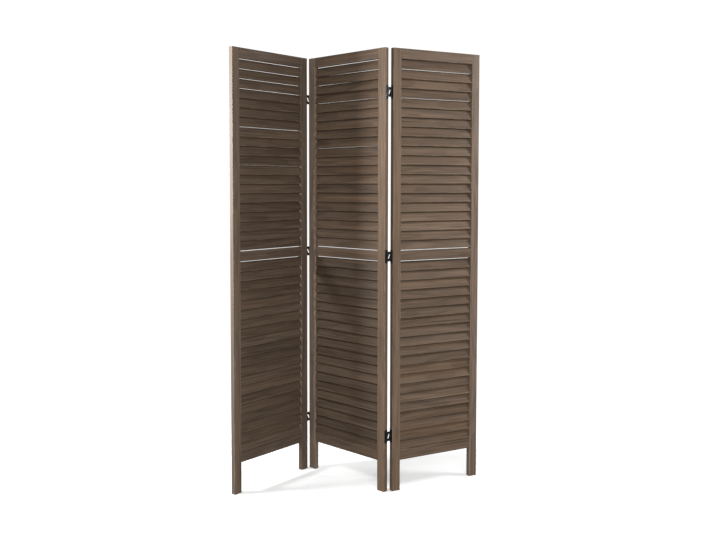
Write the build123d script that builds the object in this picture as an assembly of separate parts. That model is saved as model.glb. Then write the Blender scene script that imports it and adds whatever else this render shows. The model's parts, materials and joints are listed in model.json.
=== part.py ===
"""Three-panel louvred folding screen, free standing, in millimetres.

+Z is up, +X runs from the left panel to the right one, and +Y points away from the viewer who faces the
fronts of the slats. The origin is on the floor, in the middle of the screen's footprint in its zigzag.
"""

from build123d import *
from math import ceil, cos, radians, sin
import os

# Overall sizes of one panel
screen_height = 1700.0
panel_width = 400.0
panel_thickness = 19.0
stile_width = 35.0
floor_to_bottom_rail = 118.0
edge_radius = 1.0

# Rails
top_rail_height = 39.0
mid_rail_height = 38.0
bottom_rail_height = 39.0
mid_rail_centre = 912.0

# Slats and the slanted slots that hold them
slat_thickness = 5.0
slat_tilt = 18.5
slat_edge_radius = 1.8
fullest_slat_edge = 0.4
slot_depth = 8.0
slot_wall = 1.3
slot_clearance = 0.15
slat_end_clearance = 0.3
least_slat_overlap = 0.8
gap_under_top_rail = 1.6
gap_at_mid_rail = 3.1
gap_over_bottom_rail = 1.0

# Round dowels that join the rails to the stiles
dowel_diameter = 8.0
dowel_length = 40.0
dowel_spacing = 20.0
dowel_clearance = 0.1
dowel_end_clearance = 0.5

# Double-action hinges: two upright pins, joined by a link, between leaves on the panels' edges
floor_to_bottom_hinge = 216.0
middle_hinge_below_rail_centre = 1.0
top_hinge_below_top = 166.0
folded_gap = 0.8
leaf_height = 50.0
leaf_thickness = 1.2
leaf_inset = 1.5
knuckle_height = 6.25
barrel_radius = 2.5
barrel_to_edge = 0.3
barrel_end_clearance = 0.25
web_thickness = 1.6
window_height = 16.0
window_width = 5.0
window_lean = 5.0
window_corner_radius = 0.8
pin_diameter = 2.5
running_clearance = 0.05
fixed_clearance = 0.02
pin_head_diameter = 3.8
pin_head_height = 0.8
pin_head_dome = 0.75

# Countersunk wood screws in the leaves
screw_diameter = 2.2
screw_head_diameter = 4.2
screw_length = 11.0
screw_point_length = 2.2
screw_row_from_middle = 15.0
screw_recess_width = 0.5
screw_recess_length = 2.4
screw_recess_depth = 0.6

# The zigzag in which the screen stands: the direction of each panel and hinge link seen from above
left_panel_angle = 46.5
left_link_angle = 34.0
middle_panel_angle = -43.5
right_link_angle = 34.0
right_panel_angle = 26.0

# Slats that sit a little off their even places, so that light shows between some of them. For each panel:
# the number of the slat in the upper section, from the top, and how low its left and right ends sit
low_slats = {
    "left": {1: (0.5, 0.5), 2: (1.0, 1.0), 3: (1.6, 1.6), 4: (2.3, 2.3), 5: (1.8, 1.8), 6: (1.3, 1.3),
             7: (0.9, 0.9), 8: (2.1, 2.1), 9: (1.5, 1.5), 10: (1.0, 1.0), 11: (0.5, 0.5), 12: (1.6, 1.6),
             13: (1.0, 1.0), 14: (0.5, 0.5)},
    "middle": {1: (0.6, 0.6), 2: (-0.2, 1.3), 3: (0.3, 0.5), 4: (-0.2, 0.0), 5: (0.2, 0.4), 6: (-0.2, 0.0),
               10: (1.1, 1.1), 11: (0.6, 0.6), 12: (0.2, 0.2)},
    "right": {1: (-0.9, -0.9), 2: (-0.2, -0.2), 3: (-0.7, -0.7), 4: (-0.9, -0.9), 6: (-0.2, -0.2)},
}

# Sizes that follow from the ones above
rail_length = panel_width - 2 * stile_width
slat_length = rail_length + 2 * (slot_depth - slat_end_clearance)
slat_round = min(slat_edge_radius, fullest_slat_edge * slat_thickness)
slat_room = panel_thickness - 2 * slot_wall - 2 * slot_clearance - 2 * slat_round
slat_core_thickness = slat_thickness - 2 * slat_round
slat_core_width = (slat_room - slat_core_thickness * cos(radians(slat_tilt))) / sin(radians(slat_tilt))
slat_width = slat_core_width + 2 * slat_round
slat_rise = (slat_core_width * cos(radians(slat_tilt)) + slat_core_thickness * sin(radians(slat_tilt))
             + 2 * slat_round)
pin_spacing = panel_thickness + folded_gap
pin_to_edge = barrel_radius + barrel_to_edge
leaf_width = panel_thickness - 2 * leaf_inset
link_height = leaf_height - 2 * (knuckle_height + barrel_end_clearance)
barrel_slot_width = 2 * pin_to_edge
screw_from_axis = (barrel_slot_width + leaf_width) / 4
top_rail_centre = screen_height - top_rail_height / 2
bottom_rail_centre = floor_to_bottom_rail + bottom_rail_height / 2
rail_heights = {"top": top_rail_height, "mid": mid_rail_height, "bottom": bottom_rail_height}
rail_centres = {"top": top_rail_centre, "mid": mid_rail_centre, "bottom": bottom_rail_centre}
hinge_heights = {"bottom": floor_to_bottom_hinge,
                 "middle": mid_rail_centre - middle_hinge_below_rail_centre,
                 "top": screen_height - top_hinge_below_top}


def slat_heights(low, high):
    """Heights of the slats' middles, from the top, evenly spread between two heights and overlapping."""
    spaces = ceil((high - low - slat_rise) / (slat_rise - least_slat_overlap))
    pitch = (high - low - slat_rise) / spaces
    return [high - slat_rise / 2 - i * pitch for i in range(spaces + 1)]


def slat_places(panel, section):
    """The heights of both ends of each slat in one section of a panel, from the top."""
    mid_rail_top = mid_rail_centre + mid_rail_height / 2
    mid_rail_foot = mid_rail_centre - mid_rail_height / 2
    if section == "upper":
        heights = slat_heights(mid_rail_top + gap_at_mid_rail,
                               screen_height - top_rail_height - gap_under_top_rail)
        drops = low_slats[panel]
    else:
        heights = slat_heights(floor_to_bottom_rail + bottom_rail_height + gap_over_bottom_rail,
                               mid_rail_foot - gap_at_mid_rail)
        drops = {}
    places = []
    for number, height in enumerate(heights, start=1):
        left_drop, right_drop = drops.get(number, (0, 0))
        places.append((height - left_drop, height - right_drop))
    return places


def slat(left_height, right_height, length, clearance):
    """One slanted slat across the panel, its lower edge to the front, grown all round by a clearance."""
    section = Rot(0, 0, -slat_tilt) * RectangleRounded(
        slat_thickness + 2 * clearance, slat_width + 2 * clearance, slat_round + clearance)
    board = extrude(Plane.YZ * section, length / 2, both=True)
    lean = Rot(0, -degrees_of_rise(right_height - left_height), 0)
    middle = (panel_width / 2, panel_thickness / 2, (left_height + right_height) / 2)
    return Pos(*middle) * lean * board


def degrees_of_rise(rise):
    """The angle of a slat whose right end is higher than its left end by this much."""
    return Vector(1, 0, 0).get_angle(Vector(slat_length, 0, rise)) * (1 if rise >= 0 else -1)


def dowels(side):
    """The dowels in one stile of a panel, two in each rail."""
    joint_line = stile_width if side == "left" else panel_width - stile_width
    lying = Rot(0, 90, 0) * Cylinder(dowel_diameter / 2, dowel_length)
    return [Pos(joint_line, panel_thickness / 2, centre + way * dowel_spacing / 2) * lying
            for centre in rail_centres.values() for way in (-1, 1)]


def dowel_holes(side):
    """The blind holes for those dowels, which run from the stile into the rails."""
    joint_line = stile_width if side == "left" else panel_width - stile_width
    hole = Cylinder(dowel_diameter / 2 + dowel_clearance, dowel_length + 2 * dowel_end_clearance)
    return [Pos(joint_line, panel_thickness / 2, centre + way * dowel_spacing / 2) * Rot(0, 90, 0) * hole
            for centre in rail_centres.values() for way in (-1, 1)]


def stile(panel, side, hinged):
    """One upright of a panel, with slots for the slats and holes for the dowels and the hinge screws."""
    near_edge = 0 if side == "left" else panel_width - stile_width
    block = Pos(near_edge, 0, 0) * Box(stile_width, panel_thickness, screen_height, align=Align.MIN)
    post = fillet(block.edges(), edge_radius)
    places = slat_places(panel, "upper") + slat_places(panel, "lower")
    slots = [slat(left, right, rail_length + 2 * slot_depth, slot_clearance) for left, right in places]
    cuts = slots + dowel_holes(side)
    if hinged:
        for height in hinge_heights.values():
            cuts += at_edge(side, height, pilot_holes())
    return post - cuts


def rail(name):
    """A rail between the stiles, with the dowels' holes in its ends."""
    block = Box(rail_length, panel_thickness, rail_heights[name])
    eased = fillet(block.edges().filter_by(Axis.X), edge_radius)
    placed = Pos(panel_width / 2, panel_thickness / 2, rail_centres[name]) * eased
    return placed - (dowel_holes("left") + dowel_holes("right"))


def at_edge(side, height, drawn):
    """Pieces drawn about a leaf's pin, with the panel on the -X side, put on a panel's edge."""
    across = panel_thickness / 2
    if side == "right":
        place = Pos(panel_width + pin_to_edge, across, height)
    else:
        place = Pos(-pin_to_edge, across, height) * Rot(0, 0, 180)
    return [place * piece for piece in drawn]


def screw_places():
    """Where the screws go on a leaf, two each side of the barrels."""
    return [(y, z) for y in (-screw_from_axis, screw_from_axis)
            for z in (-screw_row_from_middle, screw_row_from_middle)]


def screw_profile(growth):
    """A countersunk screw turned about +X, its head flush with the leaf's face, grown by a clearance."""
    shank = screw_diameter / 2 + growth
    head = screw_head_diameter / 2 + growth
    neck = shank - head
    tip = -screw_length - growth
    outline = Polyline((0, 0), (0, head), (neck, shank), (tip + screw_point_length, shank), (tip, 0),
                       close=True)
    return revolve(make_face(outline), Axis.X)


def screws():
    """The four screws of one leaf, with a cross recess in each head."""
    recess = Box(2 * screw_recess_depth, screw_recess_length, screw_recess_width)
    body = screw_profile(0) - [recess, Rot(90, 0, 0) * recess]
    face = leaf_thickness - pin_to_edge
    return [Pos(face, y, z) * body for y, z in screw_places()]


def pilot_holes():
    """The screws' holes in the leaf and the stile."""
    face = leaf_thickness - pin_to_edge
    return [Pos(face, y, z) * screw_profile(fixed_clearance) for y, z in screw_places()]


def leaf():
    """A leaf about its pin: a plate on the panel's edge with a knuckle at each end."""
    plate_middle = leaf_thickness / 2 - pin_to_edge
    plate = Pos(plate_middle, 0, 0) * Box(leaf_thickness, leaf_width, leaf_height)
    plate = fillet(plate.edges().filter_by(Axis.X), edge_radius)
    room = Pos(plate_middle, 0, 0) * Box(2 * leaf_thickness, barrel_slot_width,
                                         link_height + 2 * barrel_end_clearance)
    knuckle = Cylinder(barrel_radius, knuckle_height)
    from_middle = (leaf_height - knuckle_height) / 2
    solid = plate - room + Pos(0, 0, from_middle) * knuckle + Pos(0, 0, -from_middle) * knuckle
    bore = Cylinder(pin_diameter / 2 + fixed_clearance, 2 * leaf_height)
    return solid - [bore] - pilot_holes()


def link():
    """The link: a barrel on each pin and a web between them with a slanted window."""
    barrel = Cylinder(barrel_radius, link_height)
    web = Pos(pin_spacing / 2, 0, 0) * Box(pin_spacing, web_thickness, link_height)
    half_width, half_height, half_lean = window_width / 2, window_height / 2, window_lean / 2
    corners = [(-half_width - half_lean, -half_height), (half_width - half_lean, -half_height),
               (half_width + half_lean, half_height), (-half_width + half_lean, half_height)]
    outline = make_face(Polyline(*corners, close=True))
    outline = fillet(outline.vertices(), window_corner_radius)
    window = extrude(Plane.XZ * outline, web_thickness, both=True)
    bore = Cylinder(pin_diameter / 2 + running_clearance, 2 * link_height)
    solid = web + barrel + Pos(pin_spacing, 0, 0) * barrel
    return solid - [Pos(pin_spacing / 2, 0, 0) * window, bore, Pos(pin_spacing, 0, 0) * bore]


def pin():
    """A pin with a domed, riveted head at each end."""
    shank = Cylinder(pin_diameter / 2, leaf_height)
    head = Cylinder(pin_head_diameter / 2, pin_head_height)
    head = fillet(head.faces().sort_by(Axis.Z)[-1].edges(), pin_head_dome * pin_head_height)
    upper = Pos(0, 0, (leaf_height + pin_head_height) / 2) * head
    return shank + upper + Rot(180, 0, 0) * upper


def turned(angle):
    """The direction of an angle seen from above."""
    return Vector(cos(radians(angle)), sin(radians(angle)), 0)


def group(solids):
    """Several separate solids in one piece."""
    return Compound(children=list(solids))


# The screen's pins and panels seen from above, worked out from the middle panel's front left corner
panel_angles = {"left": left_panel_angle, "middle": middle_panel_angle, "right": right_panel_angle}
edge_to_edge = panel_width + 2 * pin_to_edge
left_inner_pin = Vector(0, 0, 0)
left_outer_pin = left_inner_pin - turned(left_link_angle) * pin_spacing
left_far_end = left_outer_pin - turned(left_panel_angle) * edge_to_edge
right_inner_pin = left_inner_pin + turned(middle_panel_angle) * edge_to_edge
right_outer_pin = right_inner_pin + turned(right_link_angle) * pin_spacing
first_pins = {"left": left_far_end, "middle": left_inner_pin, "right": right_outer_pin}


def panel_location(panel):
    """Where a panel drawn lying along +X, with its front left corner at the origin, stands."""
    to_corner = Pos(pin_to_edge, -panel_thickness / 2, 0)
    return Pos(*first_pins[panel]) * Rot(0, 0, panel_angles[panel]) * to_corner


hinged_sides = {"left": ("right",), "middle": ("left", "right"), "right": ("left",)}
pieces = {}
for panel in ("left", "middle", "right"):
    stands = panel_location(panel)
    parts = {
        "left_stile": stile(panel, "left", "left" in hinged_sides[panel]),
        "right_stile": stile(panel, "right", "right" in hinged_sides[panel]),
        "top_rail": rail("top"),
        "mid_rail": rail("mid"),
        "bottom_rail": rail("bottom"),
        "upper_slats": group(slat(a, b, slat_length, 0) for a, b in slat_places(panel, "upper")),
        "lower_slats": group(slat(a, b, slat_length, 0) for a, b in slat_places(panel, "lower")),
        "dowels": group(dowels("left") + dowels("right")),
    }
    for name, part in parts.items():
        pieces[f"{panel}_{name}"] = stands * part

# Leaves, screws and pins of each hinge line: the panel and the edge that each side of it is fixed to
hinge_lines = {"left_hinges": {"outer": ("left", "right"), "inner": ("middle", "left")},
               "right_hinges": {"inner": ("middle", "right"), "outer": ("right", "left")}}
for line, sides in hinge_lines.items():
    for side, (panel, edge) in sides.items():
        stands = panel_location(panel)
        line_screws, line_pins = [], []
        for name, height in hinge_heights.items():
            pieces[f"{line}_{name}_{side}_leaf"] = stands * at_edge(edge, height, [leaf()])[0]
            line_screws += at_edge(edge, height, screws())
            line_pins += at_edge(edge, height, [pin()])
        pieces[f"{line}_{side}_screws"] = stands * group(line_screws)
        pieces[f"{line}_{side}_pins"] = stands * group(line_pins)

# The links stand between the outer and the inner pins. The left line's are turned over, front to back.
for name, height in hinge_heights.items():
    up = Pos(0, 0, height)
    pieces[f"left_hinges_{name}_link"] = (
        Pos(*left_inner_pin) * up * Rot(0, 0, left_link_angle + 180) * link())
    pieces[f"right_hinges_{name}_link"] = (
        Pos(*right_inner_pin) * up * Rot(0, 0, right_link_angle) * link())

# The origin moves to the middle of the footprint
boxes = [piece.bounding_box() for name, piece in pieces.items() if name.endswith("stile")]
low_x, high_x = min(box.min.X for box in boxes), max(box.max.X for box in boxes)
low_y, high_y = min(box.min.Y for box in boxes), max(box.max.Y for box in boxes)
to_middle = Pos(-(low_x + high_x) / 2, -(low_y + high_y) / 2, 0)
os.makedirs("parts", exist_ok=True)
for name, piece in pieces.items():
    export_step(to_middle * piece, f"parts/{name}.step")

for name, place in (("left inner", left_inner_pin), ("left outer", left_outer_pin),
                    ("right inner", right_inner_pin), ("right outer", right_outer_pin)):
    shown = to_middle.position + place
    print(f"{name} pin axis at X {shown.X:.4f}, Y {shown.Y:.4f}")
for panel, angle in panel_angles.items():
    corner = (to_middle * panel_location(panel)).position
    print(f"{panel} panel's front left corner at X {corner.X:.4f}, Y {corner.Y:.4f}, turned {angle}")
upper = slat_places("right", "upper")
print(f"footprint {high_x - low_x:.1f} by {high_y - low_y:.1f}")
print(f"slats {slat_width:.2f} wide, {len(upper)} and {len(slat_places('right', 'lower'))} a panel, "
      f"overlap {slat_rise - upper[-2][0] + upper[-1][0]:.2f}")
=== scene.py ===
"""Looks of a louvred folding screen: stained wood, black hinges, a white studio, its lights and its camera.

All sizes are in metres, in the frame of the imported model: +Z is up, and +Y points away from the viewer who
faces the fronts of the slats.
"""

import json
import logging
from dataclasses import dataclass, field
from enum import Enum
from math import atan2, cos, degrees, pi, radians, sin

import bmesh
import bpy
from mathutils import Matrix, Vector


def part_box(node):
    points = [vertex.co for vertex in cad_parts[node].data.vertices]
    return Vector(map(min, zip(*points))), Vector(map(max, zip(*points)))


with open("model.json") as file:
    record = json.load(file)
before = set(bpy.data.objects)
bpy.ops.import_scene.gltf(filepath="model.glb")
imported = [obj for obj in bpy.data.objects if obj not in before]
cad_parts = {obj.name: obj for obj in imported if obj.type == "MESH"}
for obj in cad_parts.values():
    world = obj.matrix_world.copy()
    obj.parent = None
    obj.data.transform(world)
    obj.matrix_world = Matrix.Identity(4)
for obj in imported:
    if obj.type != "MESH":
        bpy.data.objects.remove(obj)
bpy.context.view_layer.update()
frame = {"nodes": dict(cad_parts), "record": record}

Colour = tuple[float, float, float]
Span = tuple[float, float]
Value = bpy.types.NodeSocket | float
log = logging.getLogger("folding_screen")

MM = 0.001
WHITE: Colour = (1.0, 1.0, 1.0)


class Grain(Enum):
    """Which way the grain of a piece of wood runs in its panel."""

    UPRIGHT = "up a stile"
    LYING = "along a rail"
    LEANING = "along slats that lean back"


class OpenSide(Enum):
    """The side of a panel where no other panel follows, as a direction along the panel."""

    LEFT = -1.0
    NONE = 0.0
    RIGHT = 1.0


def opaque(colour: Colour) -> tuple[float, float, float, float]:
    """A colour with full alpha, as colour sockets take it."""
    return (*colour, 1.0)


def times(colour: Colour, share: float) -> Colour:
    """A colour made darker or lighter by a share."""
    return tuple(channel * share for channel in colour)


@dataclass(frozen=True)
class Pattern:
    """A noise: its repeats in a metre along each axis, and how many finer layers lie on it, how strongly."""

    per_metre: tuple[float, float, float]
    detail: float = 2.0
    roughness: float = 0.5


class Recipe:
    """A material's nodes, laid down one step at a time.

    Each step returns the socket that holds its result, so that a finish reads from top to bottom.
    """

    def __init__(self, name: str) -> None:
        """Starts an empty material.

        Args:
            name: The material's name.
        """
        self.material = bpy.data.materials.new(name)
        self.material.use_nodes = True
        self.tree = self.material.node_tree
        self.tree.nodes.clear()

    def step(self, kind: str, inputs: dict[int | str, object], **settings: object) -> bpy.types.Node:
        """Adds one node and feeds its inputs.

        Args:
            kind: The node's type.
            inputs: A socket or a constant for each input, by its place or its name.
            **settings: The node's own properties.

        Returns:
            The new node.
        """
        node = self.tree.nodes.new(kind)
        for key, value in settings.items():
            setattr(node, key, value)
        for key, value in inputs.items():
            if isinstance(value, bpy.types.NodeSocket):
                self.tree.links.new(value, node.inputs[key])
            else:
                node.inputs[key].default_value = value
        return node

    def place(self) -> bpy.types.NodeSocket:
        """The point on the piece, in the model's own frame."""
        return self.step("ShaderNodeTexCoord", {}).outputs["Object"]

    def turned(self, vector: Value, shift: Vector, turn: Vector) -> bpy.types.NodeSocket:
        """A vector turned about the origin and then shifted.

        Args:
            vector: The vector.
            shift: How far it is shifted after its turn.
            turn: Its turn about X, Y and Z, in radians.

        Returns:
            The new vector.
        """
        inputs = {"Vector": vector, "Location": shift, "Rotation": turn}
        return self.step("ShaderNodeMapping", inputs, vector_type="POINT").outputs["Vector"]

    def parts(self, vector: Value) -> tuple[bpy.types.NodeSocket, ...]:
        """The three components of a vector."""
        return tuple(self.step("ShaderNodeSeparateXYZ", {0: vector}).outputs)

    def vector(self, x: Value, y: Value, z: Value) -> bpy.types.NodeSocket:
        """A vector from three components."""
        return self.step("ShaderNodeCombineXYZ", {0: x, 1: y, 2: z}).outputs[0]

    def length(self, vector: Value) -> bpy.types.NodeSocket:
        """The length of a vector."""
        return self.step("ShaderNodeVectorMath", {0: vector}, operation="LENGTH").outputs["Value"]

    def math(self, operation: str, *values: Value) -> bpy.types.NodeSocket:
        """One sum on numbers, such as ADD or MULTIPLY."""
        return self.step("ShaderNodeMath", dict(enumerate(values)), operation=operation).outputs[0]

    def sum(self, *values: Value) -> Value:
        """Several numbers added up.

        Args:
            *values: The numbers.

        Returns:
            Their sum.
        """
        total = values[0]
        for value in values[1:]:
            total = self.math("ADD", total, value)
        return total

    def vector_math(self, operation: str, *values: object) -> bpy.types.NodeSocket:
        """One sum on vectors, such as ADD or MULTIPLY."""
        return self.step("ShaderNodeVectorMath", dict(enumerate(values)), operation=operation).outputs[0]

    def ease(self, value: Value, low: float, high: float) -> bpy.types.NodeSocket:
        """A number that rises smoothly from 0 to 1 as the value goes from low to high."""
        inputs = {"Value": value, "From Min": low, "From Max": high}
        return self.step("ShaderNodeMapRange", inputs, interpolation_type="SMOOTHSTEP").outputs["Result"]

    def near(self, distance: Value, half: float, inset: Span) -> bpy.types.NodeSocket:
        """How near a place is to a face, from 0 to 1.

        Args:
            distance: How far the place is from the middle.
            half: How far the face is from the middle.
            inset: How far in from the face the number starts to rise, and where it reaches 1.

        Returns:
            The nearness.
        """
        start, full = inset
        return self.ease(distance, half - start, half - full)

    def noise(self, vector: Value, pattern: Pattern) -> bpy.types.NodeSocket:
        """A noise about 0.5.

        Args:
            vector: The place where the noise is read.
            pattern: How it repeats.

        Returns:
            The noise.
        """
        stretched = self.vector_math("MULTIPLY", vector, pattern.per_metre)
        inputs = {"Vector": stretched, "Scale": 1.0, "Detail": pattern.detail, "Roughness": pattern.roughness}
        return self.step("ShaderNodeTexNoise", inputs).outputs["Fac"]

    def swing(self, value: Value, reach: float) -> bpy.types.NodeSocket:
        """Noise about 0.5 turned into a swing about 0 of this reach."""
        return self.math("MULTIPLY", self.math("SUBTRACT", value, 0.5), reach)

    def chance(self, number: Value) -> tuple[bpy.types.NodeSocket, bpy.types.NodeSocket]:
        """A random number and a random vector that go with a whole number."""
        node = self.step("ShaderNodeTexWhiteNoise", {"W": number}, noise_dimensions="1D")
        return node.outputs["Value"], node.outputs["Color"]

    def ramp(self, factor: Value, stops: dict[float, Colour]) -> bpy.types.NodeSocket:
        """A colour read from a ramp.

        Args:
            factor: Where on the ramp, from 0 to 1.
            stops: The colour at each place on the ramp, from low to high.

        Returns:
            The colour.
        """
        node = self.step("ShaderNodeValToRGB", {0: factor})
        elements = node.color_ramp.elements
        while len(elements) < len(stops):
            elements.new(1.0)
        for element, (position, colour) in zip(elements, stops.items()):
            element.position = position
            element.color = opaque(colour)
        return node.outputs["Color"]

    def mix(self, factor: Value, first: object, second: object, mode: str = "MIX") -> bpy.types.NodeSocket:
        """Two colours mixed.

        Args:
            factor: How much of the second colour is laid on.
            first: The colour below, as a socket or a constant.
            second: The colour that is laid on.
            mode: The way the colours are mixed.

        Returns:
            The colour.
        """
        node = self.step("ShaderNodeMix", {"Factor": factor}, data_type="RGBA", blend_type=mode)
        for socket, value in ((node.inputs[6], first), (node.inputs[7], second)):
            if isinstance(value, bpy.types.NodeSocket):
                self.tree.links.new(value, socket)
            else:
                socket.default_value = opaque(value)
        return node.outputs[2]

    def finish(self, colour: Value, roughness: Value, height: Value, relief: float, shine: float,
               metallic: Value = 0.0, glow: Value = 0.0) -> bpy.types.Material:
        """Ends the recipe with a shader.

        Args:
            colour: The base colour.
            roughness: The roughness.
            height: The relief as a number from 0 to 1.
            relief: How high a relief of 1 stands, in metres.
            shine: The strength of the reflection.
            metallic: How much of the surface is bare metal.
            glow: How much white light the surface gives off.

        Returns:
            The material.
        """
        bump = self.step("ShaderNodeBump", {"Height": height, "Strength": 1.0, "Distance": relief})
        shader = self.step("ShaderNodeBsdfPrincipled", {
            "Base Color": colour, "Roughness": roughness, "Metallic": metallic,
            "Specular IOR Level": shine, "Normal": bump.outputs["Normal"],
            "Emission Color": opaque(WHITE), "Emission Strength": glow})
        self.step("ShaderNodeOutputMaterial", {"Surface": shader.outputs["BSDF"]})
        return self.material


@dataclass(frozen=True)
class Stand:
    """Where a panel stands: the middle of its foot line, and the way it runs from left to right."""

    middle: Vector
    angle: float

    @classmethod
    def of_panel(cls, panel: str) -> "Stand":
        """Works out a panel's stand from its two feet in the frame's record.

        Args:
            panel: The panel's name.

        Returns:
            The stand.
        """
        feet = {mount["name"]: Vector(mount["pos_m"]) for mount in frame["record"]["mounts"]}
        left, right = feet[f"{panel}_panel_left_foot"], feet[f"{panel}_panel_right_foot"]
        along = right - left
        return cls((left + right) / 2, atan2(along.y, along.x))

    def inward(self) -> Matrix:
        """The turn and shift from the model's frame into the panel's own."""
        return Matrix.Rotation(-self.angle, 4, "Z") @ Matrix.Translation(-self.middle)

    def on(self, recipe: Recipe) -> bpy.types.NodeSocket:
        """The place on a piece in the panel's own frame: along it, through it and up it."""
        return recipe.turned(recipe.place(), self.inward().translation, Vector((0, 0, -self.angle)))


@dataclass(frozen=True)
class Board:
    """One piece of wood in a panel, as the panel's own frame sees it.

    Its tone is how light it is beside the others, partly the wood's own and partly painted light and shade,
    its warmth goes from 0, greyish, to 1, reddish, and its seed picks a cut of wood of its own.
    """

    node: str
    grain: Grain
    middle: Vector
    half: Vector
    tone: float
    warmth: float
    seed: int
    open_side: OpenSide
    seed_step: tuple[float, float, float] = (3.17, 1.31, 0.73)

    def offset(self) -> Vector:
        """A shift that gives this piece a cut of wood of its own."""
        return Vector([self.seed * step for step in self.seed_step])


@dataclass(frozen=True)
class SlatRow:
    """How the slats of one section lie, so that each one's grain and tone are its own.

    The width and the thickness are a slat's own, and the rise is the height that it takes as it leans, with
    its edges rounded. Two sections number their slats so far apart that none share their luck, and the cut
    spread is how far apart the slats' cuts of wood can lie.
    """

    count: int = 20
    lean: float = radians(18.5)
    width: float = 38.8 * MM
    thickness: float = 5.0 * MM
    rise: float = 37.4 * MM
    numbers_apart: float = 53.0
    cut_spread: tuple[float, float, float] = (9.0, 5.0, 2.0)

    def steps(self, node: str) -> tuple[float, float]:
        """The height of the top slat's middle and the distance from slat to slat.

        Args:
            node: The node that holds the section's slats.

        Returns:
            The height of the top slat's middle, and the pitch.
        """
        low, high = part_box(node)
        return high.z - self.rise / 2, (high.z - low.z - self.rise) / (self.count - 1)


@dataclass(frozen=True)
class Spot:
    """A place on a board, as the wood's finish sees it.

    The cut is the place in the piece's own cut of wood, with the grain along X. The edge rises to 1 on the
    long edges, which are rubbed paler and, on a slat's nose, also painted lighter as a highlight. The soak
    and shade rises on end grain, where stain soaks in deeper, and is painted shade where the next slat
    overlaps. The outer face rises to 1 on the outer side face of an end stile, which is painted paler. The
    luck is a random number for each slat.
    """

    cut: Value
    across: Value
    through: Value
    edge: Value
    soak_and_shade: Value
    outer_face: Value | None = None
    luck: Value | None = None


@dataclass(frozen=True)
class Weights:
    """How strongly each mark of the wood shows, about a middle value."""

    middle: float
    broad: float = 0.0
    streaks: float = 0.0
    fibres: float = 0.0
    rings: float = 0.0
    pores: float = 0.0


@dataclass(frozen=True)
class Marks:
    """The marks of a cut of wood: three noises about 0.5, and rings and pores that go from 0 to 1."""

    broad: Value
    streaks: Value
    fibres: Value
    rings: Value
    pores: Value

    def weigh(self, recipe: Recipe, weights: Weights) -> Value:
        """Adds the marks up by their weights.

        Args:
            recipe: The recipe so far.
            weights: How strongly each mark shows.

        Returns:
            The sum.
        """
        noises = ((self.broad, weights.broad), (self.streaks, weights.streaks), (self.fibres, weights.fibres))
        lines = ((self.rings, weights.rings), (self.pores, weights.pores))
        parts = [recipe.swing(noise, reach) for noise, reach in noises if reach]
        parts += [recipe.math("MULTIPLY", line, share) for line, share in lines if share]
        return recipe.sum(weights.middle, *parts)


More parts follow.
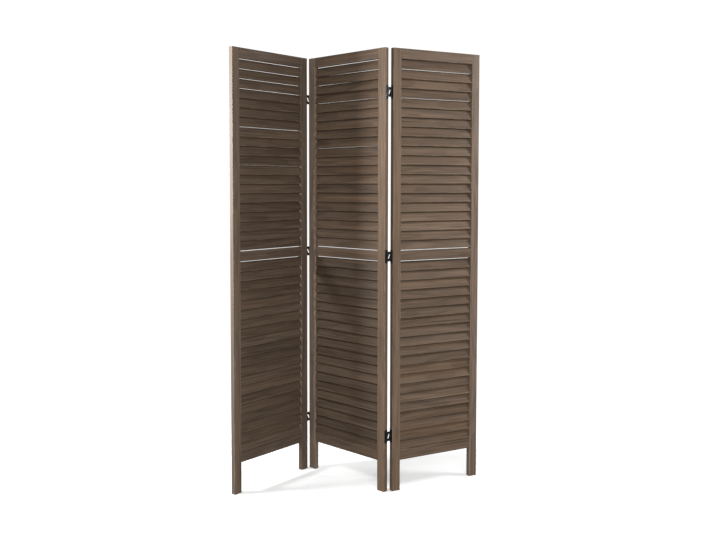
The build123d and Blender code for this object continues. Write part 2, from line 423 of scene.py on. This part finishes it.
@dataclass(frozen=True)
class StainedWood:
    """Grey-brown stain on straight-grained wood: growth rings, streaks, pores and edges rubbed paler, which
    on a slat's nose also stand in for a painted highlight, and painted shade where one slat overlaps the
    next.

    The stain steps say how deep the base colour is at places along the figure. A name that ends in range
    gives the number at which an effect starts and the one at which it is full. A name that ends in inset
    gives how far in from a face it starts and where it is full.
    """

    base: Colour = (0.138, 0.093, 0.062)
    stain_steps: tuple[Span, ...] = ((0.0, 0.42), (0.35, 0.76), (0.62, 1.12), (1.0, 1.85))
    stain_weights: Weights = Weights(0.5, broad=0.24, streaks=0.45, fibres=1.05, rings=-0.14, pores=-0.13)
    slat_luck: float = 0.22

    broad: Pattern = Pattern((1.7, 38.0, 38.0), 3.0, 0.6)
    streaks: Pattern = Pattern((2.6, 170.0, 170.0), 1.0)
    fibres: Pattern = Pattern((5.0, 400.0, 400.0), 2.0, 0.7)
    pores: Pattern = Pattern((95.0, 2400.0, 2400.0), 1.0)
    pore_range: Span = (0.60, 0.70)

    ring_width: float = 6.5 * MM
    ring_rise_range: Span = (0.35, 0.86)
    ring_fall_range: Span = (1.0, 0.88)
    wander: Pattern = Pattern((2.2, 9.0, 9.0))
    wander_reach: float = 30.0 * MM
    pith_depth: float = 75.0 * MM
    pith_sway: Pattern = Pattern((0.9, 1.0, 1.0), 1.0)
    pith_sway_reach: float = 90.0 * MM

    hue: Pattern = Pattern((1.3, 16.0, 16.0))
    grey: Colour = (0.083, 0.093, 0.111)
    grey_range: Span = (0.55, 0.25)
    grey_patches: float = 0.25
    grey_overall: float = 0.85
    red: Colour = (0.104, 0.092, 0.080)
    red_range: Span = (0.45, 0.75)
    red_patches: float = 0.35

    bare: Colour = (0.350, 0.270, 0.190)
    edge_inset: Span = (2.6 * MM, 0.3 * MM)
    rubbing: Pattern = Pattern((14.0, 160.0, 160.0), 3.0, 0.7)
    rubbed_range: Span = (0.46, 0.66)
    rubbed_share: float = 0.5

    # The outer side face of an end stile is painted paler.
    outer_face_colour: Colour = (0.270, 0.250, 0.225)
    outer_face_inset: Span = (0.8 * MM, 0.2 * MM)
    outer_face_share: float = 0.26

    # Darker on end grain, where stain soaks in deeper, and painted shade on a slat where the next one
    # overlaps it.
    soak_and_shade_tone: float = 0.5
    soak_and_shade_share: float = 0.8
    end_inset: Span = (0.7 * MM, 0.2 * MM)
    overlap_inset: Span = (9.0 * MM, 2.7 * MM)
    overlap_shade_depth: float = 0.85

    relief: float = 0.22 * MM
    relief_weights: Weights = Weights(0.6, streaks=0.3, fibres=0.35, rings=0.12, pores=-0.45)
    roughness_weights: Weights = Weights(0.58, fibres=0.16, pores=0.12)
    rubbed_roughness: float = 0.15
    shine: float = 0.16

    def board(self, stand: Stand, board: Board) -> bpy.types.Material:
        """The finish of a stile or a rail.

        Args:
            stand: Where the board's panel stands.
            board: The board.

        Returns:
            The material.
        """
        recipe = Recipe(f"wood_{board.node}")
        x, y, z = recipe.parts(stand.on(recipe))
        x = recipe.math("SUBTRACT", x, board.middle.x)
        z = recipe.math("SUBTRACT", z, board.middle.z)
        if board.grain is Grain.UPRIGHT:
            along, across, half_length, half_width = z, x, board.half.z, board.half.x
        else:
            along, across, half_length, half_width = x, z, board.half.x, board.half.z
        cut = recipe.vector_math("ADD", recipe.vector(along, across, y), board.offset())
        edge = self._edge(recipe, across, half_width, y, board.half.y)
        end = recipe.near(recipe.math("ABSOLUTE", along), half_length, self.end_inset)
        outward = recipe.math("MULTIPLY", across, board.open_side.value)
        outer_face = recipe.near(outward, half_width, self.outer_face_inset)
        return self._finish(recipe, Spot(cut, across, y, edge, end, outer_face), board)

    def slats(self, stand: Stand, board: Board, row: SlatRow) -> bpy.types.Material:
        """The finish of a section's slats, each with its own grain and tone.

        Args:
            stand: Where the slats' panel stands.
            board: The section.
            row: How its slats lie.

        Returns:
            The material.
        """
        recipe = Recipe(f"wood_{board.node}")
        top, pitch = row.steps(board.node)
        step_through, step_across = pitch * sin(row.lean), pitch * cos(row.lean)
        leaned = recipe.turned(stand.on(recipe), Vector((0, 0, 0)), Vector((row.lean, 0, 0)))
        along, through, across = recipe.parts(leaned)
        through = recipe.math("ADD", through, top * sin(row.lean))
        number = recipe.math("ROUND", recipe.math("DIVIDE", through, step_through))
        through = recipe.math("SUBTRACT", through, recipe.math("MULTIPLY", number, step_through))
        across = recipe.math("SUBTRACT", across, top * cos(row.lean))
        across = recipe.math("ADD", across, recipe.math("MULTIPLY", number, step_across))
        luck, luck_vector = recipe.chance(recipe.math("ADD", number, board.seed * row.numbers_apart))
        shift = recipe.vector_math("MULTIPLY_ADD", luck_vector, row.cut_spread, board.offset())
        cut = recipe.vector_math("ADD", recipe.vector(along, across, through), shift)
        edge = self._edge(recipe, across, row.width / 2, through, row.thickness / 2)
        # Painted shade: each slat's face is darkened where the next slat overlaps it.
        covered = recipe.math("MULTIPLY", across, recipe.math("SIGN", through))
        start, full = (inset - row.width / 2 for inset in self.overlap_inset)
        painted_overlap_shade = recipe.math("MULTIPLY", recipe.ease(covered, start, full), self.overlap_shade_depth)
        return self._finish(recipe, Spot(cut, across, through, edge, painted_overlap_shade, luck=luck), board)

    def _edge(self, recipe: Recipe, across: Value, half_width: float, through: Value,
              half_depth: float) -> bpy.types.NodeSocket:
        """How near a place is to one of the board's long edges.

        Args:
            recipe: The recipe so far.
            across: How far across the board from its middle.
            half_width: Half the board's width.
            through: How far through the board from its middle.
            half_depth: Half the board's thickness.

        Returns:
            The nearness, from 0 to 1.
        """
        near = [recipe.near(recipe.math("ABSOLUTE", value), half, self.edge_inset)
                for value, half in ((across, half_width), (through, half_depth))]
        return recipe.math("MULTIPLY", *near)

    def _rings(self, recipe: Recipe, spot: Spot) -> bpy.types.NodeSocket:
        """Growth rings about a pith that lies behind the board and wanders along it.

        Args:
            recipe: The recipe so far.
            spot: The place on the board.

        Returns:
            A number that is 1 in the dark part of a ring.
        """
        wander = recipe.swing(recipe.noise(spot.cut, self.wander), self.wander_reach)
        sway = recipe.swing(recipe.noise(spot.cut, self.pith_sway), self.pith_sway_reach)
        aside = recipe.math("ADD", spot.across, sway)
        deep = recipe.math("ADD", spot.through, self.pith_depth)
        squared = recipe.math("MULTIPLY_ADD", aside, aside, recipe.math("MULTIPLY", deep, deep))
        radius = recipe.math("ADD", recipe.math("SQRT", squared), wander)
        phase = recipe.math("FRACT", recipe.math("DIVIDE", radius, self.ring_width))
        rise = recipe.ease(phase, *self.ring_rise_range)
        fall = recipe.ease(phase, *self.ring_fall_range)
        return recipe.math("MULTIPLY", rise, fall)

    def _marks(self, recipe: Recipe, spot: Spot) -> Marks:
        """The marks of a board's own cut of wood.

        Args:
            recipe: The recipe so far.
            spot: The place on the board.

        Returns:
            The marks.
        """
        rings = self._rings(recipe, spot)
        broad = recipe.noise(spot.cut, self.broad)
        streaks = recipe.noise(spot.cut, self.streaks)
        fibres = recipe.noise(spot.cut, self.fibres)
        pores = recipe.ease(recipe.noise(spot.cut, self.pores), *self.pore_range)
        return Marks(broad, streaks, fibres, rings, pores)

    def _tint(self, recipe: Recipe, spot: Spot, warmth: float, stain: Value) -> bpy.types.NodeSocket:
        """Turns the stain greyer and redder, overall and in patches.

        Args:
            recipe: The recipe so far.
            spot: The place on the board.
            warmth: From 0, greyish, to 1, reddish.
            stain: The stain.

        Returns:
            The tinted stain.
        """
        hue = recipe.noise(spot.cut, self.hue)
        greyed = recipe.math("MULTIPLY_ADD", recipe.ease(hue, *self.grey_range), self.grey_patches,
                             self.grey_overall * (1.0 - warmth))
        warmed = recipe.math("MULTIPLY", recipe.ease(hue, *self.red_range), self.red_patches * warmth)
        for share, tint in ((greyed, self.grey), (warmed, self.red)):
            stain = recipe.mix(share, stain, times(tint, 1 / tint[1]), "MULTIPLY")
        return stain

    def _finish(self, recipe: Recipe, spot: Spot, board: Board) -> bpy.types.Material:
        """Lays marks, stain, rubbed edges, painted shade and a painted highlight on a board and ends its
        recipe.

        Args:
            recipe: The recipe so far.
            spot: The place on the board.
            board: The board.

        Returns:
            The material.
        """
        marks = self._marks(recipe, spot)
        figure = marks.weigh(recipe, self.stain_weights)
        if spot.luck is not None:
            figure = recipe.math("ADD", figure, recipe.swing(spot.luck, self.slat_luck))
        base = times(self.base, board.tone)
        stain = recipe.ramp(figure, {place: times(base, depth) for place, depth in self.stain_steps})
        stain = self._tint(recipe, spot, board.warmth, stain)
        # Edges rubbed paler, as real rubbing does, and on the slats' lower noses also a painted highlight.
        rubbed = recipe.ease(recipe.noise(spot.cut, self.rubbing), *self.rubbed_range)
        edge_wear_and_highlight = recipe.math("MULTIPLY", recipe.math("MULTIPLY", spot.edge, rubbed), self.rubbed_share)
        stain = recipe.mix(edge_wear_and_highlight, stain, times(self.bare, board.tone))
        if spot.outer_face is not None:
            stain = recipe.mix(recipe.math("MULTIPLY", spot.outer_face, self.outer_face_share), stain, self.outer_face_colour)
        # Darker on end grain, where stain soaks in deeper, and painted shade under the overlapping slat.
        soak_and_shade = recipe.math("MULTIPLY", spot.soak_and_shade, self.soak_and_shade_share)
        stain = recipe.mix(soak_and_shade, stain, times(base, self.soak_and_shade_tone))
        height = marks.weigh(recipe, self.relief_weights)
        roughness = recipe.sum(marks.weigh(recipe, self.roughness_weights),
                               recipe.math("MULTIPLY", edge_wear_and_highlight, self.rubbed_roughness))
        return recipe.finish(stain, roughness, height, self.relief, self.shine)


@dataclass(frozen=True)
class RawDowel:
    """Unfinished pale hardwood, turned round, with short dark flecks along the grain."""

    pale: Colour = (0.560, 0.400, 0.250)
    dark: Colour = (0.360, 0.235, 0.135)
    grain: Pattern = Pattern((20.0, 650.0, 650.0), 3.0, 0.6)
    grain_range: Span = (0.25, 0.75)
    flecks: Pattern = Pattern((160.0, 1500.0, 1500.0), 1.0)
    fleck_range: Span = (0.62, 0.70)
    fleck_share: float = 0.5
    fleck_tone: float = 0.6
    roughness: float = 0.72
    roughness_reach: float = 0.2
    relief: float = 0.15 * MM
    shine: float = 0.3

    def rods(self, stand: Stand, node: str) -> bpy.types.Material:
        """The finish of a panel's dowels, which lie along it.

        Args:
            stand: Where the dowels' panel stands.
            node: The node that holds them.

        Returns:
            The material.
        """
        recipe = Recipe(f"raw_{node}")
        place = stand.on(recipe)
        grain = recipe.noise(place, self.grain)
        flecks = recipe.ease(recipe.noise(place, self.flecks), *self.fleck_range)
        colour = recipe.ramp(grain, dict(zip(self.grain_range, (self.dark, self.pale))))
        flecked = recipe.math("MULTIPLY", flecks, self.fleck_share)
        colour = recipe.mix(flecked, colour, times(self.dark, self.fleck_tone))
        roughness = recipe.sum(self.roughness, recipe.swing(grain, self.roughness_reach))
        return recipe.finish(colour, roughness, grain, self.relief, self.shine)


@dataclass(frozen=True)
class BlackEnamel:
    """Black enamel baked on steel: a faint orange peel, patches of dust and spots rubbed to metal."""

    name: str
    enamel: Colour = (0.0060, 0.0056, 0.0060)
    seed: float = 0.0
    seed_step: tuple[float, float, float] = (1.0, 0.7, 0.3)

    peel: Pattern = Pattern((1500.0, 1500.0, 1500.0), 1.0)
    peel_height: float = 0.5
    peel_roughness: float = 0.06

    dust: Colour = (0.030, 0.025, 0.021)
    grime: Pattern = Pattern((190.0, 190.0, 120.0), 3.0, 0.6)
    dust_range: Span = (0.45, 0.75)
    dust_share: float = 0.35
    roughness: float = 0.40
    grime_roughness: float = 0.30

    metal: Colour = (0.330, 0.310, 0.290)
    rubbing: Pattern = Pattern((420.0, 420.0, 300.0), 4.0, 0.7)
    rub_start: float = 0.64
    rub_fade: float = 0.07
    bare_depth: float = 0.4
    bare_metal: float = 0.9

    relief: float = 0.03 * MM
    shine: float = 0.28

    def material(self) -> bpy.types.Material:
        """Makes the finish.

        Returns:
            The material.
        """
        recipe = Recipe(self.name)
        place = recipe.vector_math("ADD", recipe.place(), [self.seed * step for step in self.seed_step])
        peel = recipe.noise(place, self.peel)
        grime = recipe.noise(place, self.grime)
        rubbed = recipe.noise(place, self.rubbing)
        bare = recipe.ease(rubbed, self.rub_start, self.rub_start + self.rub_fade)
        dusty = recipe.math("MULTIPLY", recipe.ease(grime, *self.dust_range), self.dust_share)
        colour = recipe.mix(dusty, self.enamel, self.dust)
        colour = recipe.mix(bare, colour, self.metal)
        roughness = recipe.sum(self.roughness, recipe.swing(grime, self.grime_roughness),
                               recipe.swing(peel, self.peel_roughness))
        height = recipe.math("SUBTRACT", recipe.math("MULTIPLY", peel, self.peel_height),
                             recipe.math("MULTIPLY", bare, self.bare_depth))
        metallic = recipe.math("MULTIPLY", bare, self.bare_metal)
        return recipe.finish(colour, roughness, height, self.relief, self.shine, metallic)


def dress(node: str, material: bpy.types.Material) -> None:
    """Gives a node of the frame its finish.

    Args:
        node: The node's name.
        material: The finish.
    """
    mesh = frame["nodes"][node].data
    mesh.materials.clear()
    mesh.materials.append(material)
    log.info("%s: %s", node, material.name)


@dataclass
class Panel:
    """One panel: two stiles, three rails, two sections of slats and the dowels inside."""

    name: str
    seed: int
    tones_with_painted_light: dict[str, float]
    warmths: dict[str, float]
    usual_warmth: float = 0.8
    open_side: OpenSide = OpenSide.NONE
    thickness: float = 19.0 * MM
    stile_width: float = 35.0 * MM
    wood: StainedWood = field(default_factory=StainedWood)
    dowel_wood: RawDowel = field(default_factory=RawDowel)
    row: SlatRow = field(default_factory=SlatRow)
    stand: Stand = field(init=False)

    def __post_init__(self) -> None:
        """Finds where the panel stands."""
        self.stand = Stand.of_panel(self.name)

    def board(self, part: str, grain: Grain, number: int) -> Board:
        """One piece of wood of this panel, measured on the frame.

        Args:
            part: The piece's name without the panel's.
            grain: Which way its grain runs.
            number: The piece's number in the panel.

        Returns:
            The piece as the panel's own frame sees it.
        """
        node = f"{self.name}_{part}"
        low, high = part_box(node)
        middle = self.stand.inward() @ ((low + high) / 2)
        length = self.stile_width if grain is Grain.UPRIGHT else self.rail_length()
        half = Vector((length, self.thickness, high.z - low.z)) / 2
        warmth = self.warmths.get(part, self.usual_warmth)
        open_side = self.open_side if part == self.outer_stile() else OpenSide.NONE
        return Board(node, grain, middle, half, self.tones_with_painted_light[part], warmth, self.seed + number, open_side)

    def outer_stile(self) -> str:
        """The name of the stile on the open side, or nothing where the panel has none."""
        return {OpenSide.LEFT: "left_stile", OpenSide.RIGHT: "right_stile"}.get(self.open_side, "")

    def rail_length(self) -> float:
        """The length of the rails, between the two stiles.

        Returns:
            The length.
        """
        ends = [self.stand.inward() @ (sum(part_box(f"{self.name}_{side}_stile"), Vector()) / 2)
                for side in ("left", "right")]
        return ends[1].x - ends[0].x - self.stile_width

    def build(self) -> None:
        """Dresses every piece of the panel."""
        for number, (part, grain) in enumerate(PANEL_PIECES.items(), start=1):
            board = self.board(part, grain, number)
            if grain is Grain.LEANING:
                dress(board.node, self.wood.slats(self.stand, board, self.row))
            else:
                dress(board.node, self.wood.board(self.stand, board))
        dowels = f"{self.name}_dowels"
        dress(dowels, self.dowel_wood.rods(self.stand, dowels))


@dataclass
class HingeLine:
    """Three double-action hinges, one above another: leaves, links, pins and screws."""

    name: str
    plates: bpy.types.Material
    pins: bpy.types.Material
    screws: bpy.types.Material
    heights: tuple[str, ...] = ("bottom", "middle", "top")

    def build(self) -> None:
        """Dresses every piece of the hinge line."""
        for height in self.heights:
            for piece in ("outer_leaf", "inner_leaf", "link"):
                dress(f"{self.name}_{height}_{piece}", self.plates)
        for side in ("outer", "inner"):
            dress(f"{self.name}_{side}_pins", self.pins)
            dress(f"{self.name}_{side}_screws", self.screws)


@dataclass
class SoftBox:
    """A rectangular lamp behind a white cloth."""

    name: str
    place: Vector
    aim: Vector
    size: tuple[float, float]
    power: float

    def build(self) -> None:
        """Hangs the lamp and points it."""
        lamp = bpy.data.lights.new(self.name, "AREA")
        lamp.shape = "RECTANGLE"
        lamp.size, lamp.size_y = self.size
        lamp.energy = self.power
        holder = bpy.data.objects.new(self.name, lamp)
        bpy.context.scene.collection.objects.link(holder)
        holder.location = self.place
        holder.visible_camera = False
        holder.rotation_euler = (self.aim - self.place).to_track_quat("-Z", "Y").to_euler()
        log.info("%s: %.0f W", self.name, self.power)


@dataclass(frozen=True)
class FloorPaint:
    """Matt white paint, faintly uneven in its tone and sheen, with a glow that grows outwards."""

    colour: Colour = (0.97, 0.97, 0.97)
    mottle: Pattern = Pattern((3.0, 3.0, 3.0))
    mottle_share: float = 0.06
    mottle_tone: float = 0.9
    roughness: float = 0.75
    roughness_reach: float = 0.1
    relief: float = 0.05 * MM
    shine: float = 0.2
    glow: Span = (0.34, 0.60)
    glow_reach: Span = (0.9, 2.6)

    def material(self) -> bpy.types.Material:
        """Makes the finish.

        Returns:
            The material.
        """
        recipe = Recipe("white_floor")
        mottle = recipe.noise(recipe.place(), self.mottle)
        darker = recipe.math("MULTIPLY", mottle, self.mottle_share)
        colour = recipe.mix(darker, self.colour, times(self.colour, self.mottle_tone))
        roughness = recipe.sum(self.roughness, recipe.swing(mottle, self.roughness_reach))
        outward = recipe.ease(recipe.length(recipe.place()), *self.glow_reach)
        near, far = self.glow
        glow = recipe.math("MULTIPLY_ADD", outward, far - near, near)
        return recipe.finish(colour, roughness, mottle, self.relief, self.shine, glow=glow)


@dataclass(frozen=True)
class DomeGlow:
    """The plain white of the dome, which shines by itself."""

    strength: float = 1.05

    def material(self) -> bpy.types.Material:
        """Makes the finish.

        Returns:
            The material.
        """
        recipe = Recipe("white_dome")
        glow = recipe.step("ShaderNodeEmission", {"Color": opaque(WHITE), "Strength": self.strength})
        recipe.step("ShaderNodeOutputMaterial", {"Surface": glow.outputs["Emission"]})
        return recipe.material


@dataclass
class Studio:
    """A white room without corners: a pale floor, a white dome around it, an even fill and soft lamps.

    The floor and the dome are there for the eye alone. They throw no light back on the screen, whose fill
    is the even surround, so its shading depends on the lamps and not on the size of the room.
    """

    lamps: tuple[SoftBox, ...]
    floor_radius: float = 11.0
    floor_sides: int = 96
    floor_paint: FloorPaint = field(default_factory=FloorPaint)
    dome_radius: float = 12.0
    dome_fineness: int = 4
    dome_glow: DomeGlow = field(default_factory=DomeGlow)
    fill: float = 0.42

    def build(self) -> None:
        """Lays the floor, sets up the dome and the fill and hangs the lamps."""
        self.lay_floor()
        self.raise_dome()
        self.fill_evenly()
        for lamp in self.lamps:
            lamp.build()

    def lay_floor(self) -> None:
        """Lays a round white floor."""
        shape = bmesh.new()
        bmesh.ops.create_circle(shape, cap_ends=True, segments=self.floor_sides, radius=self.floor_radius)
        self.set_up("floor", shape, self.floor_paint.material())

    def raise_dome(self) -> None:
        """Sets up a plain white dome around the floor."""
        shape = bmesh.new()
        bmesh.ops.create_icosphere(shape, subdivisions=self.dome_fineness, radius=self.dome_radius)
        self.set_up("dome", shape, self.dome_glow.material())

    def fill_evenly(self) -> None:
        """Lights the screen evenly from all around."""
        world = bpy.data.worlds.new("even_fill")
        world.use_nodes = True
        background = world.node_tree.nodes["Background"]
        background.inputs["Color"].default_value = opaque(WHITE)
        background.inputs["Strength"].default_value = self.fill
        bpy.context.scene.world = world
        log.info("even fill: %.2f", self.fill)

    def set_up(self, name: str, shape: bmesh.types.BMesh, material: bpy.types.Material) -> None:
        """Makes a piece of the studio that the camera sees, and that throws no light back.

        Args:
            name: The piece's name.
            shape: Its shape, which is freed.
            material: Its finish.
        """
        mesh = bpy.data.meshes.new(name)
        shape.to_mesh(mesh)
        shape.free()
        mesh.materials.append(material)
        piece = bpy.data.objects.new(name, mesh)
        bpy.context.scene.collection.objects.link(piece)
        piece.visible_diffuse = False
        piece.visible_glossy = False
        piece.visible_shadow = False
        log.info("%s: %s", name, material.name)


@dataclass(frozen=True)
class PhotoCamera:
    """The photograph's camera, whose place was worked out from the panels' corners in it."""

    place: Vector = Vector((-163.1, -3121.3, 1178.35)) * MM
    down: float = radians(2.829)
    roll: float = radians(-0.065)
    focal_pixels: float = 789.8
    axis_pixel: tuple[float, float] = (316.17, 225.37)
    picture: tuple[int, int] = (716, 540)
    sensor: float = 36.0
    reach: float = 100.0

    def build(self) -> None:
        """Sets up the camera with the photograph's framing."""
        width, height = self.picture
        camera = bpy.data.cameras.new("photo_camera")
        camera.sensor_fit = "HORIZONTAL"
        camera.sensor_width = self.sensor
        camera.lens = self.focal_pixels * self.sensor / width
        camera.shift_x = (width / 2 - self.axis_pixel[0]) / width
        camera.shift_y = (self.axis_pixel[1] - height / 2) / width
        camera.clip_end = self.reach
        holder = bpy.data.objects.new("photo_camera", camera)
        bpy.context.scene.collection.objects.link(holder)
        turn = Matrix.Rotation(pi / 2 - self.down, 4, "X") @ Matrix.Rotation(self.roll, 4, "Z")
        holder.matrix_world = Matrix.Translation(self.place) @ turn
        bpy.context.scene.camera = holder
        log.info("camera: %.1f mm lens, %.2f degrees down", camera.lens, degrees(self.down))


PANEL_PIECES = {
    "left_stile": Grain.UPRIGHT,
    "right_stile": Grain.UPRIGHT,
    "top_rail": Grain.LYING,
    "mid_rail": Grain.LYING,
    "bottom_rail": Grain.LYING,
    "upper_slats": Grain.LEANING,
    "lower_slats": Grain.LEANING,
}

# Each board's tone is partly the wood's own and partly painted light and shade: each was fitted to how bright
# the board looked where it stands, so the right panel's boards are lighter than the left panel's.
PANELS = (
    Panel("left", 10, open_side=OpenSide.LEFT,
          tones_with_painted_light={"left_stile": 1.20, "right_stile": 1.08, "top_rail": 0.95, "mid_rail": 0.95,
                 "bottom_rail": 0.95, "upper_slats": 0.90, "lower_slats": 0.89},
          warmths={"left_stile": 0.50, "right_stile": 0.25, "top_rail": 0.50, "mid_rail": 0.60,
                   "bottom_rail": 0.60, "lower_slats": 0.85}),
    Panel("middle", 20,
          tones_with_painted_light={"left_stile": 1.78, "right_stile": 1.32, "top_rail": 1.15, "mid_rail": 1.10,
                 "bottom_rail": 0.90, "upper_slats": 0.92, "lower_slats": 0.71},
          warmths={"left_stile": 0.20, "right_stile": 1.0, "upper_slats": 1.0, "lower_slats": 1.0}),
    Panel("right", 30, open_side=OpenSide.RIGHT,
          tones_with_painted_light={"left_stile": 1.33, "right_stile": 1.60, "top_rail": 1.25, "mid_rail": 1.10,
                 "bottom_rail": 1.10, "upper_slats": 1.12, "lower_slats": 1.05},
          warmths={"left_stile": 1.0, "right_stile": 0.50, "upper_slats": 0.90, "lower_slats": 1.0}),
)

STUDIO = Studio(lamps=(
    SoftBox("left_softbox", Vector((-1.475, -0.28, 1.55)), Vector((-0.3, -0.1, 1.1)), (0.3, 0.3), 38.0),
    SoftBox("right_softbox", Vector((1.90, -0.06, 1.75)), Vector((0.3, -0.1, 1.1)), (0.4, 0.4), 20.0),
    SoftBox("front_softbox", Vector((0.3, -3.8, 1.6)), Vector((0.0, 0.0, 0.9)), (2.4, 1.6), 70.0),
))

PLATE_ENAMEL = BlackEnamel("black_enamel")
PIN_ENAMEL = BlackEnamel("black_pins", roughness=0.32, rub_start=0.58, seed=2.0)
SCREW_ENAMEL = BlackEnamel("black_screws", enamel=(0.012, 0.011, 0.011), roughness=0.34, rub_start=0.60,
                           seed=5.0)


def main() -> None:
    """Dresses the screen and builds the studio."""
    logging.basicConfig(level=logging.INFO, format="%(message)s")
    for panel in PANELS:
        panel.build()
    plates, pins, screws = (enamel.material() for enamel in (PLATE_ENAMEL, PIN_ENAMEL, SCREW_ENAMEL))
    for line in ("left_hinges", "right_hinges"):
        HingeLine(line, plates, pins, screws).build()
    STUDIO.build()
    PhotoCamera().build()
    bpy.context.scene.view_settings.view_transform = "Standard"


if __name__ == "__main__":
    main()
